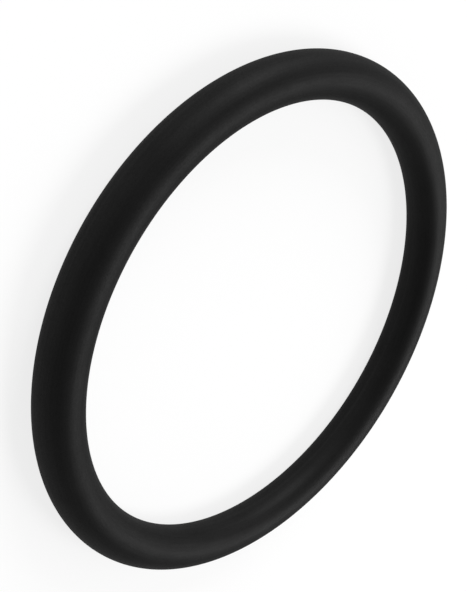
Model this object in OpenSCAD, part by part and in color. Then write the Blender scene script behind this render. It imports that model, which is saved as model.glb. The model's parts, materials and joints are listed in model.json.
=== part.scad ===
// A moulded rubber o-ring, drawn as it lies: flat, with its axis upright.
// The origin is the centre of the ring, on the plane where the two halves of the mould met.
// All sizes are in millimetres, on the free ring, neither stretched nor squeezed.

/* [Ring] */
// Inside diameter: the hole of the free ring
inside_d = 36.09; // [8:0.01:150]
// Section diameter: the thickness of the round cord of rubber
section_d = 3.53; // [1:0.01:7]

/* [Mould line] */
// Width of the flat left inside and outside where the flash was trimmed off the parting line
trim_flat_w = 0.2; // [0.05:0.05:0.8]

/* [Hidden] */

section_r = section_d / 2;
// How deep the trimmed flat lies below the full round of the section
trim_depth = section_r - sqrt(pow(section_r, 2) - pow(trim_flat_w / 2, 2));
// Half the section's width across its two flats, which is a hair less than section_r
half_width = section_r - trim_depth;
// The inner flat lies on the inside diameter, so the section is centred half a width further out
centreline_r = inside_d / 2 + half_width;

section_facets = 96;
ring_facets = 256;

// The section: a full round, flat at the two places where it meets the parting line
module section() {
  intersection() {
    circle(r = section_r, $fn = section_facets);
    square([2 * half_width, 2 * section_d], center = true);
  }
}

module o_ring() {
  color("#232323")
    rotate_extrude($fn = ring_facets)
      translate([centreline_r, 0])
        section();
}

o_ring();
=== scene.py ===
# A black rubber o-ring lying on a white floor, in soft studio light
import json
import math
import bpy
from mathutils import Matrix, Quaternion, Vector


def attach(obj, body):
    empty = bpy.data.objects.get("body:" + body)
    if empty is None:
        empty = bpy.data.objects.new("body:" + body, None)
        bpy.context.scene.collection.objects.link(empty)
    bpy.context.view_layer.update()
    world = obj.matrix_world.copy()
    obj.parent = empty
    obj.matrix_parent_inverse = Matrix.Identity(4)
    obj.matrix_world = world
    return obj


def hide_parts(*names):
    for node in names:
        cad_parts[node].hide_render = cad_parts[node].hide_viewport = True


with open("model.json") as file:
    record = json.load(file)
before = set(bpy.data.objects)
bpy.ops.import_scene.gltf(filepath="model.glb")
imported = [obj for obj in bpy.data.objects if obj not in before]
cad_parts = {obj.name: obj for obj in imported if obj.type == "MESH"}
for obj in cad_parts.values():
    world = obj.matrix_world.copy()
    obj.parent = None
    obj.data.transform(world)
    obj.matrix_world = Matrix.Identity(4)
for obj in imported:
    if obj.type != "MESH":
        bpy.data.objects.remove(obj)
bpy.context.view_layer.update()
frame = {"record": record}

mm = 0.001


# One output of a node. Python's own arithmetic on it adds Math nodes to its tree.
class Wire:
    def __init__(self, tree, socket=None):
        self.tree = tree
        self.socket = socket

    def node(self, kind, settings, inputs, output=0):
        made = self.tree.nodes.new(kind)
        for name, value in settings.items():
            setattr(made, name, value)
        for name, value in inputs.items():
            if isinstance(value, Wire):
                self.tree.links.new(value.socket, made.inputs[name])
            else:
                made.inputs[name].default_value = value
        return Wire(self.tree, made.outputs[output] if made.outputs else None)

    def maths(self, operation, first, second=0.0):
        return self.node("ShaderNodeMath", {"operation": operation}, {0: first, 1: second})

    def __add__(self, other):
        return self.maths("ADD", self, other)

    def __sub__(self, other):
        return self.maths("SUBTRACT", self, other)

    def __rsub__(self, other):
        return self.maths("SUBTRACT", other, self)

    def __mul__(self, other):
        return self.maths("MULTIPLY", self, other)

    def __truediv__(self, other):
        return self.maths("DIVIDE", self, other)

    def __pow__(self, other):
        return self.maths("POWER", self, other)

    def __neg__(self):
        return self * -1.0

    def __abs__(self):
        return self.maths("ABSOLUTE", self)

    __radd__ = __add__
    __rmul__ = __mul__


# A wire that goes smoothly from one value to another while it passes between two limits
def eased(wire, lowest, highest, fromValue, toValue):
    return wire.node(
        "ShaderNodeMapRange",
        {"interpolation_type": "SMOOTHSTEP"},
        {
            "Value": wire,
            "From Min": lowest,
            "From Max": highest,
            "To Min": fromValue,
            "To Max": toValue,
        },
        "Result",
    )


def grey(wire):
    return wire.node("ShaderNodeCombineColor", {}, {"Red": wire, "Green": wire, "Blue": wire}, "Color")


def newMaterial(name):
    material = bpy.data.materials.new(name)
    material.use_nodes = True
    material.node_tree.nodes.clear()
    return material, Wire(material.node_tree)


# The ring: a round section, trimmed flat at the mould's parting line, swept round a circle.
# Its sizes are those of its two seats, where a groove or a bore would hold it.

seats = {mount["name"]: mount["dims"] for mount in frame["record"]["mounts"]}

ringSizes = {
    "Inside Diameter": 2 * seats["inner_seat"]["r_mm"] * mm,
    "Outside Diameter": 2 * seats["outer_seat"]["r_mm"] * mm,
    "Trim Flat Width": seats["inner_seat"]["length_mm"] * mm,
    "Ring Steps": 768,
    "Section Steps": 112,  # a multiple of 4, so that a step lies at the very top and bottom
}


def ringTree():
    tree = bpy.data.node_groups.new("oRingShape", "GeometryNodeTree")
    tree.is_modifier = True
    for name, value in ringSizes.items():
        kind = "NodeSocketInt" if isinstance(value, int) else "NodeSocketFloat"
        tree.interface.new_socket(name, in_out="INPUT", socket_type=kind)
    tree.interface.new_socket("Rubber", in_out="INPUT", socket_type="NodeSocketMaterial")
    tree.interface.new_socket("Ring", in_out="OUTPUT", socket_type="NodeSocketGeometry")

    start = tree.nodes.new("NodeGroupInput")
    given = {socket.name: Wire(tree, socket) for socket in start.outputs if socket.name}
    wire = Wire(tree)

    halfFlat = given["Trim Flat Width"] / 2.0
    halfWidth = (given["Outside Diameter"] - given["Inside Diameter"]) / 4.0  # of the section
    sectionRadius = (halfWidth * halfWidth + halfFlat * halfFlat) ** 0.5
    centrelineRadius = (given["Outside Diameter"] + given["Inside Diameter"]) / 4.0

    fullRound = wire.node(
        "GeometryNodeCurvePrimitiveCircle",
        {"mode": "RADIUS"},
        {"Resolution": given["Section Steps"], "Radius": sectionRadius},
        "Curve",
    )
    place = wire.node("GeometryNodeInputPosition", {}, {})
    across = wire.node("ShaderNodeSeparateXYZ", {}, {"Vector": place}, "X")
    upright = wire.node("ShaderNodeSeparateXYZ", {}, {"Vector": place}, "Y")
    trimmed = wire.maths("MAXIMUM", wire.maths("MINIMUM", across, halfWidth), -halfWidth)
    section = wire.node(
        "GeometryNodeSetPosition",
        {},
        {
            "Geometry": fullRound,
            "Position": wire.node("ShaderNodeCombineXYZ", {}, {"X": trimmed, "Y": upright}),
        },
    )
    centreline = wire.node(
        "GeometryNodeCurvePrimitiveCircle",
        {"mode": "RADIUS"},
        {"Resolution": given["Ring Steps"], "Radius": centrelineRadius},
        "Curve",
    )
    level = wire.node("GeometryNodeSetCurveNormal", {"mode": "Z_UP"}, {"Curve": centreline})
    swept = wire.node("GeometryNodeCurveToMesh", {}, {"Curve": level, "Profile Curve": section})
    smooth = wire.node("GeometryNodeSetShadeSmooth", {}, {"Geometry": swept})
    real = wire.node("GeometryNodeRealizeInstances", {}, {"Geometry": smooth})
    dressed = wire.node(
        "GeometryNodeSetMaterial", {}, {"Geometry": real, "Material": given["Rubber"]}
    )
    wire.node("NodeGroupOutput", {}, {"Ring": dressed})
    return tree


# The turns of one face's corners, as shares of a whole turn, brought to one side of where turns start
def together(turns):
    halfTurn = 0.5
    if max(turns) - min(turns) > halfTurn:
        turns = [turn + 1 if turn < halfTurn else turn for turn in turns]
    whole = math.floor(sum(turns) / len(turns))
    return [turn - whole for turn in turns]


# The UV map that a bake of the finish goes through, kept under a fixed name. The ring lies on it in a
# few lengths, one above the other, each opened along the underside.
def layMap(mesh):
    name = "OFBake"
    lengths = 3
    border = 0.004  # left free round each, as a share of the map
    centrelineRadius = (ringSizes["Inside Diameter"] + ringSizes["Outside Diameter"]) / 4
    ringTurns, sectionTurns = [], []
    for x, y, z in (vertex.co for vertex in mesh.vertices):
        outwards = math.hypot(x, y) - centrelineRadius
        ringTurns.append(math.atan2(y, x) / math.tau % 1)
        sectionTurns.append(math.atan2(outwards, -z) / math.tau % 1)  # from the underside
    layer = mesh.uv_layers.new(name=name)
    for face in mesh.polygons:
        along = together([ringTurns[index] for index in face.vertices])
        around = together([sectionTurns[index] for index in face.vertices])
        length = math.floor(sum(along) / len(along) * lengths)
        for corner, alongTurn, aroundTurn in zip(face.loop_indices, along, around):
            u = border + (alongTurn * lengths - length) * (1 - 2 * border)
            v = border + aroundTurn * (1 / lengths - 2 * border) + length / lengths
            layer.data[corner].uv = (u, v)


def addRing(material):
    tree = ringTree()
    ring = bpy.data.objects.new("rubber_ring", bpy.data.meshes.new("empty"))
    bpy.context.scene.collection.objects.link(ring)
    shape = ring.modifiers.new("shape", "NODES")
    shape.node_group = tree
    values = {**ringSizes, "Rubber": material}
    for item in tree.interface.items_tree:
        if item.in_out == "INPUT":
            shape[item.identifier] = values[item.name]
    graph = bpy.context.evaluated_depsgraph_get()
    mesh = bpy.data.meshes.new_from_object(ring.evaluated_get(graph))
    mesh.name = "rubber_ring"
    ring.modifiers.remove(shape)
    layMap(mesh)
    ring.data = mesh
    return ring


# The rubber: near black, with the faint marks that a turned mould leaves on it. Its satin sheen
# comes from the thin waxy film that rubber sweats out, laid on as a coat.

rubber = {
    "tone": 0.0055,  # linear grey
    "toneSpread": 0.12,  # how far the tone wanders, as a share of it
    "roughness": 0.6,
    "roughnessSpread": 0.12,
    "specularLevel": 0.002,  # next to none: the film gives nearly all the gloss
    "film": 0.22,  # how much of the film there is
    "filmRoughness": 0.55,
    "filmSpread": 0.15,  # how far its amount wanders, as a share of it
    "filmGrain": 1.4,  # how much thinner it is in the grain's hollows, as a share
    "filmMarks": 0.6,  # and between the turned marks
    "filmTrim": 0.2,  # and on the trimmed flats
    "mottleSize": 2.5 * mm,
    "mottleDetail": 3.0,
    "grainSize": 0.09 * mm,
    "grainDetail": 2.0,
    "grainDepth": 0.006 * mm,
    "grainTone": 0.5,  # how much lighter the grain's hollows are, as a share of the tone
    "markPitch": 0.08 * mm,  # of the turned marks, across them
    "markLength": 6 * mm,
    "markDetail": 2.0,
    "markDepth": 0.004 * mm,
    "trimLift": 0.8,  # how much lighter the trimmed flats are, as a share of the tone
    "trimRoughness": 0.12,  # how much rougher they are
    "trimWander": 0.06 * mm,  # how far their edges wander
    "trimWanderSize": 0.7 * mm,
    "trimWanderDetail": 3.0,
    "trimEdge": 0.2,  # how softly they end, as a share of their half width
}


def rubberMaterial():
    s = rubber
    material, tree = newMaterial("blackRubber")
    place = tree.node("ShaderNodeTexCoord", {}, {}, "Object")
    x, y, z = (tree.node("ShaderNodeSeparateXYZ", {}, {"Vector": place}, axis) for axis in "XYZ")

    def noise(size, detail):
        return tree.node(
            "ShaderNodeTexNoise",
            {"noise_dimensions": "3D"},
            {"Vector": place, "Scale": 1 / size, "Detail": detail},
            "Fac",
        )

    # The marks run round the ring: their noise is fine across it and long along it, with no seam
    reach = (x * x + y * y) ** 0.5
    marks = tree.node(
        "ShaderNodeTexNoise",
        {"noise_dimensions": "4D"},
        {
            "Vector": tree.node(
                "ShaderNodeCombineXYZ",
                {},
                {"X": reach / s["markPitch"], "Y": z / s["markPitch"], "Z": x / s["markLength"]},
            ),
            "W": y / s["markLength"],
            "Scale": 1.0,
            "Detail": s["markDetail"],
        },
        "Fac",
    )
    drift = noise(s["mottleSize"], s["mottleDetail"]) * 2.0 - 1.0  # from about -1 to 1
    grain = noise(s["grainSize"], s["grainDetail"])
    height = grain * s["grainDepth"] + marks * s["markDepth"]

    halfFlat = ringSizes["Trim Flat Width"] / 2
    wander = (noise(s["trimWanderSize"], s["trimWanderDetail"]) - 0.5) * s["trimWander"]
    flatEnds = (halfFlat * (1 - s["trimEdge"]), halfFlat * (1 + s["trimEdge"]))
    trim = eased(abs(z) + wander, *flatEnds, 1.0, 0.0)  # 1 on the flats
    tone = s["tone"] * (
        1.0 + drift * s["toneSpread"] + (0.5 - grain) * s["grainTone"] + trim * s["trimLift"]
    )
    film = s["film"] * (
        1.0
        + drift * s["filmSpread"]
        + (grain - 0.5) * s["filmGrain"]
        + (marks - 0.5) * s["filmMarks"]
        - trim * s["filmTrim"]
    )
    bump = tree.node(
        "ShaderNodeBump", {}, {"Strength": 1.0, "Distance": 1.0, "Height": height}, "Normal"
    )
    surface = tree.node(
        "ShaderNodeBsdfPrincipled",
        {},
        {
            "Base Color": grey(tone),
            "Roughness": s["roughness"] + drift * s["roughnessSpread"] + trim * s["trimRoughness"],
            "Specular IOR Level": s["specularLevel"],
            "Coat Weight": film,
            "Coat Roughness": s["filmRoughness"],
            "Normal": bump,
        },
        "BSDF",
    )
    tree.node("ShaderNodeOutputMaterial", {}, {"Surface": surface})
    return material


ring = addRing(rubberMaterial())
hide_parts("o_ring")
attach(ring, "root")
print("ring:", len(ring.data.polygons), "faces")


# The studio: a white floor, lit softly

studio = {
    "floorSize": 4.0,  # metres
    "floorTone": 0.93,  # linear grey
    "floorWhite": 0.8,  # the share of plain white that is seen in place of the lit floor
    "skyWhite": 0.95,  # the world's tone at the horizon, and below it
    "skyTop": 0.3,  # its tone overhead
    "skyBand": (12, 26),  # the elevations between which it goes from the one to the other
    "lights": {
        # where each shines from, how wide it looks from the ring, both in degrees, and its power
        "backLight": {"azimuth": 90, "elevation": 50, "spread": 28, "power": 12.5},
        "backLeftLight": {"azimuth": 120, "elevation": 35, "spread": 28, "power": 5.0},
        "leftLight": {"azimuth": 195, "elevation": 20, "spread": 28, "power": 15.1},
    },
    "lightDistance": 1.5,  # metres, from the ring
}


def addFloor(height):
    half = studio["floorSize"] / 2
    corners = [(x, y, height) for x, y in ((-half, -half), (half, -half), (half, half), (-half, half))]
    mesh = bpy.data.meshes.new("floor")
    mesh.from_pydata(corners, [], [(0, 1, 2, 3)])
    floor = bpy.data.objects.new("floor", mesh)
    bpy.context.scene.collection.objects.link(floor)

    material, tree = newMaterial("whiteFloor")
    tone = studio["floorTone"]
    lit = tree.node("ShaderNodeBsdfDiffuse", {}, {"Color": (tone, tone, tone, 1.0)}, "BSDF")
    white = tree.node("ShaderNodeEmission", {}, {"Color": (1.0, 1.0, 1.0, 1.0), "Strength": 1.0})
    seen = [
        tree.node("ShaderNodeLightPath", {}, {}, name)
        for name in ("Is Camera Ray", "Is Glossy Ray", "Is Transmission Ray")
    ]
    share = tree.maths("MINIMUM", seen[0] + seen[1] + seen[2], 1.0) * studio["floorWhite"]
    mixed = tree.node("ShaderNodeMixShader", {}, {0: share, 1: lit, 2: white})
    tree.node("ShaderNodeOutputMaterial", {}, {"Surface": mixed})
    mesh.materials.append(material)


def addWorld():
    world = bpy.data.worlds.new("studio")
    bpy.context.scene.world = world
    world.use_nodes = True
    world.node_tree.nodes.clear()
    tree = Wire(world.node_tree)
    towards = tree.node("ShaderNodeTexCoord", {}, {}, "Generated")
    up = tree.node("ShaderNodeSeparateXYZ", {}, {"Vector": towards}, "Z")
    low, high = (math.sin(math.radians(angle)) for angle in studio["skyBand"])
    tone = eased(up, low, high, studio["skyWhite"], studio["skyTop"])
    sky = tree.node("ShaderNodeBackground", {}, {"Color": grey(tone), "Strength": 1.0})
    tree.node("ShaderNodeOutputWorld", {}, {"Surface": sky})


def direction(azimuth, elevation):
    a, e = math.radians(azimuth), math.radians(elevation)
    return Vector((math.cos(a) * math.cos(e), math.sin(a) * math.cos(e), math.sin(e)))


def addLights():
    distance = studio["lightDistance"]
    for name, s in studio["lights"].items():
        light = bpy.data.lights.new(name, "AREA")
        light.shape = "DISK"
        light.size = 2 * distance * math.tan(math.radians(s["spread"] / 2))
        light.energy = s["power"]
        lamp = bpy.data.objects.new(name, light)
        bpy.context.scene.collection.objects.link(lamp)
        lamp.visible_camera = False
        towards = direction(s["azimuth"], s["elevation"])
        lamp.location = towards * distance
        lamp.rotation_mode = "QUATERNION"
        lamp.rotation_quaternion = towards.to_track_quat("Z", "Y")


# The camera, at the photograph's viewing angle and turned about its line of sight as the picture is

cameraView = {
    "distance": 72.217 * mm,  # from the ring's middle
    "azimuth": -90,
    "elevation": 35.511,  # above the floor
    "aim": (-0.558 * mm, -6.072 * mm, 0.0),  # what lies at the picture's centre
    "roll": 119.109,
    "lens": 55.633,
    "clipStart": 1 * mm,
}


def addCamera():
    camera = bpy.data.cameras.new("camera")
    camera.lens = cameraView["lens"]
    camera.clip_start = cameraView["clipStart"]
    eye = bpy.data.objects.new("camera", camera)
    bpy.context.scene.collection.objects.link(eye)
    towards = direction(cameraView["azimuth"], cameraView["elevation"])
    eye.location = towards * cameraView["distance"]
    back = eye.location - Vector(cameraView["aim"])
    turn = Quaternion((0, 0, 1), math.radians(cameraView["roll"]))
    eye.rotation_mode = "QUATERNION"
    eye.rotation_quaternion = back.to_track_quat("Z", "Y") @ turn
    bpy.context.scene.camera = eye


addFloor(min(vertex.co.z for vertex in ring.data.vertices))
addWorld()
addLights()
addCamera()
bpy.context.scene.view_settings.view_transform = "Standard"
print("studio: floor, world, camera and", len(studio["lights"]), "lights")
